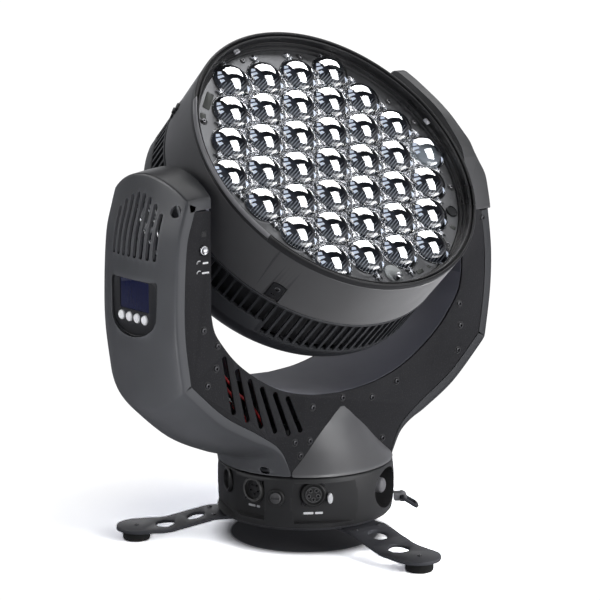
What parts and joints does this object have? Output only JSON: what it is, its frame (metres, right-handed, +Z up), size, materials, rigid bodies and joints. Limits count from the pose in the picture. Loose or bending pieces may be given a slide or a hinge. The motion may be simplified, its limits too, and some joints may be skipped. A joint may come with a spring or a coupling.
{
  "type": "moving head light",
  "caption": "LED wash moving head light: round drum head with a hexagonal field of zoom lenses, carried in a U-shaped yoke that pans on a round three-legged base.",
  "frame": {"origin": "centre of the base plate underside, on the pan axis", "axes": "+Z up along the pan axis, X along the tilt axis, the lenses look towards -Y and up at rest; the display arm is at -X"},
  "size_m": [0.416, 0.3284, 0.4848],
  "materials": {
    "black_plastic": "satin charcoal moulding with a very fine grain",
    "textured_plastic": "fine stippled texture",
    "black_steel": "black powder coat",
    "silver_reflector": "bright silver coating",
    "clear_lens": "clear moulded optic",
    "aluminium": "machined",
    "rubber": "matt black rubber",
    "screen": "dark blue display glass",
    "white_plastic": "smooth white",
    "grey_plastic": "mid grey moulding"
  },
  "bodies": {
    "base": {"base_housing": "black_plastic", "base_bottom_plate": "black_steel", "leg_left": "black_steel", "leg_front": "black_steel", "leg_right": "black_steel", "foot_left": "rubber", "foot_front": "rubber", "foot_right": "rubber", "data_in_socket": "black_plastic", "data_out_socket": "black_plastic", "mains_inlet": "white_plastic", "fuse_holder": "black_plastic", "safety_eyelet": "grey_plastic", "pan_shaft_pulley": "aluminium"},
    "yoke": {"left_arm_cover": "black_plastic", "display_panel": "black_plastic", "lcd_window": "screen", "right_arm_cover": "black_plastic", "right_shoulder_cover": "black_plastic", "yoke_frame": "black_plastic", "yoke_front_plate": "textured_plastic", "yoke_rear_plate": "textured_plastic", "neck_front_cover": "black_plastic", "neck_rear_cover": "black_plastic", "yoke_floor_plate": "aluminium", "pan_bearing": "aluminium", "pan_motor": "black_steel", "pan_belt": "rubber", "tilt_motor": "black_steel", "tilt_belt": "rubber", "tilt_bearing_left": "aluminium", "tilt_bearing_right": "aluminium"},
    "head": {"front_bezel": "black_plastic", "head_drum": "black_plastic", "vent_ring": "black_plastic", "rear_cover": "black_plastic", "fan_guard": "black_steel", "fan_frame": "black_plastic", "led_board": "white_plastic", "heat_sink": "aluminium", "head_chassis": "aluminium", "zoom_motor": "black_steel", "tilt_shaft_left": "aluminium", "tilt_shaft_right": "aluminium", "tilt_ring_pulley": "aluminium"},
    "lens_carriage": {"lens_array": "clear_lens", "lens_plate": "silver_reflector"},
    "data_out_latch": {"data_out_latch": "white_plastic"},
    "fuse_cap": {"fuse_cap": "grey_plastic"},
    "pan_lock_knob": {"pan_lock_knob": "grey_plastic"},
    "safety_ring": {"safety_ring": "black_steel"},
    "menu_button_1": {"menu_button_1": "white_plastic"},
    "menu_button_2": {"menu_button_2": "white_plastic"},
    "menu_button_3": {"menu_button_3": "white_plastic"},
    "menu_button_4": {"menu_button_4": "white_plastic"},
    "tilt_lock_button": {"tilt_lock_button": "aluminium"},
    "pan_motor_pulley": {"pan_motor_pulley": "aluminium"},
    "tilt_motor_pulley": {"tilt_motor_pulley": "aluminium"},
    "fan_rotor": {"fan_rotor": "black_plastic"},
    "zoom_screw": {"zoom_screw": "aluminium"}
  },
  "joints": [
    {"name": "pan", "type": "hinge", "parent": "base", "child": "yoke", "pos_m": [0, 0, 0.0575], "axis": [0, 0, 1], "range_deg": [-215, 215]},
    {"name": "tilt", "type": "hinge", "parent": "yoke", "child": "head", "pos_m": [0, 0, 0.3053], "axis": [1, 0, 0], "range_deg": [-196, 104]},
    {"name": "zoom", "type": "slide", "parent": "head", "child": "lens_carriage", "axis": [0, -0.7206, 0.6934], "range_m": [-0.022, 0.002]},
    {"name": "zoom_screw_turn", "type": "hinge", "parent": "head", "child": "zoom_screw", "pos_m": [0, -0.10663, 0.22334], "axis": [0, -0.7206, 0.6934], "range_deg": [-992, 92]},
    {"name": "fan_spin", "type": "hinge", "parent": "head", "child": "fan_rotor", "pos_m": [0, 0.05837, 0.24913], "axis": [0, -0.7206, 0.6934], "continuous": true},
    {"name": "pan_pulley_turn", "type": "hinge", "parent": "yoke", "child": "pan_motor_pulley", "pos_m": [0.06, 0, 0.0705], "axis": [0, 0, 1], "range_deg": [-1022, 1022]},
    {"name": "tilt_pulley_turn", "type": "hinge", "parent": "yoke", "child": "tilt_motor_pulley", "pos_m": [0.176, 0, 0.2103], "axis": [1, 0, 0], "range_deg": [-981, 521]},
    {"name": "menu_button_1_press", "type": "slide", "parent": "yoke", "child": "menu_button_1", "axis": [1, 0, 0], "range_m": [0, 0.0008], "stiffness_N_per_m": 400},
    {"name": "menu_button_2_press", "type": "slide", "parent": "yoke", "child": "menu_button_2", "axis": [1, 0, 0], "range_m": [0, 0.0008], "stiffness_N_per_m": 400},
    {"name": "menu_button_3_press", "type": "slide", "parent": "yoke", "child": "menu_button_3", "axis": [1, 0, 0], "range_m": [0, 0.0008], "stiffness_N_per_m": 400},
    {"name": "menu_button_4_press", "type": "slide", "parent": "yoke", "child": "menu_button_4", "axis": [1, 0, 0], "range_m": [0, 0.0008], "stiffness_N_per_m": 400},
    {"name": "tilt_lock_press", "type": "slide", "parent": "yoke", "child": "tilt_lock_button", "axis": [0, 1, 0], "range_m": [0, 0.003]},
    {"name": "pan_lock_press", "type": "slide", "parent": "base", "child": "pan_lock_knob", "axis": [-0.4848, 0.8746, 0], "range_m": [0, 0.003]},
    {"name": "data_out_latch_press", "type": "slide", "parent": "base", "child": "data_out_latch", "axis": [0.5592, 0.829, 0], "range_m": [0, 0.0008], "stiffness_N_per_m": 400},
    {"name": "fuse_cap_turn", "type": "hinge", "parent": "base", "child": "fuse_cap", "pos_m": [-0.07208, -0.04504, 0.0323], "axis": [-0.848, -0.5299, 0], "range_deg": [0, 60]},
    {"name": "safety_ring_swing", "type": "hinge", "parent": "base", "child": "safety_ring", "pos_m": [0.07526, -0.0588, 0.009], "axis": [0.6157, 0.788, 0], "range_deg": [-100, 55]}
  ],
  "couplings": [
    {"joint": "pan_pulley_turn", "follows": "pan", "ratio": -4.75},
    {"joint": "tilt_pulley_turn", "follows": "tilt", "ratio": 5},
    {"joint": "zoom_screw_turn", "follows": "zoom", "rad_per_m": 785.4}
  ]
}
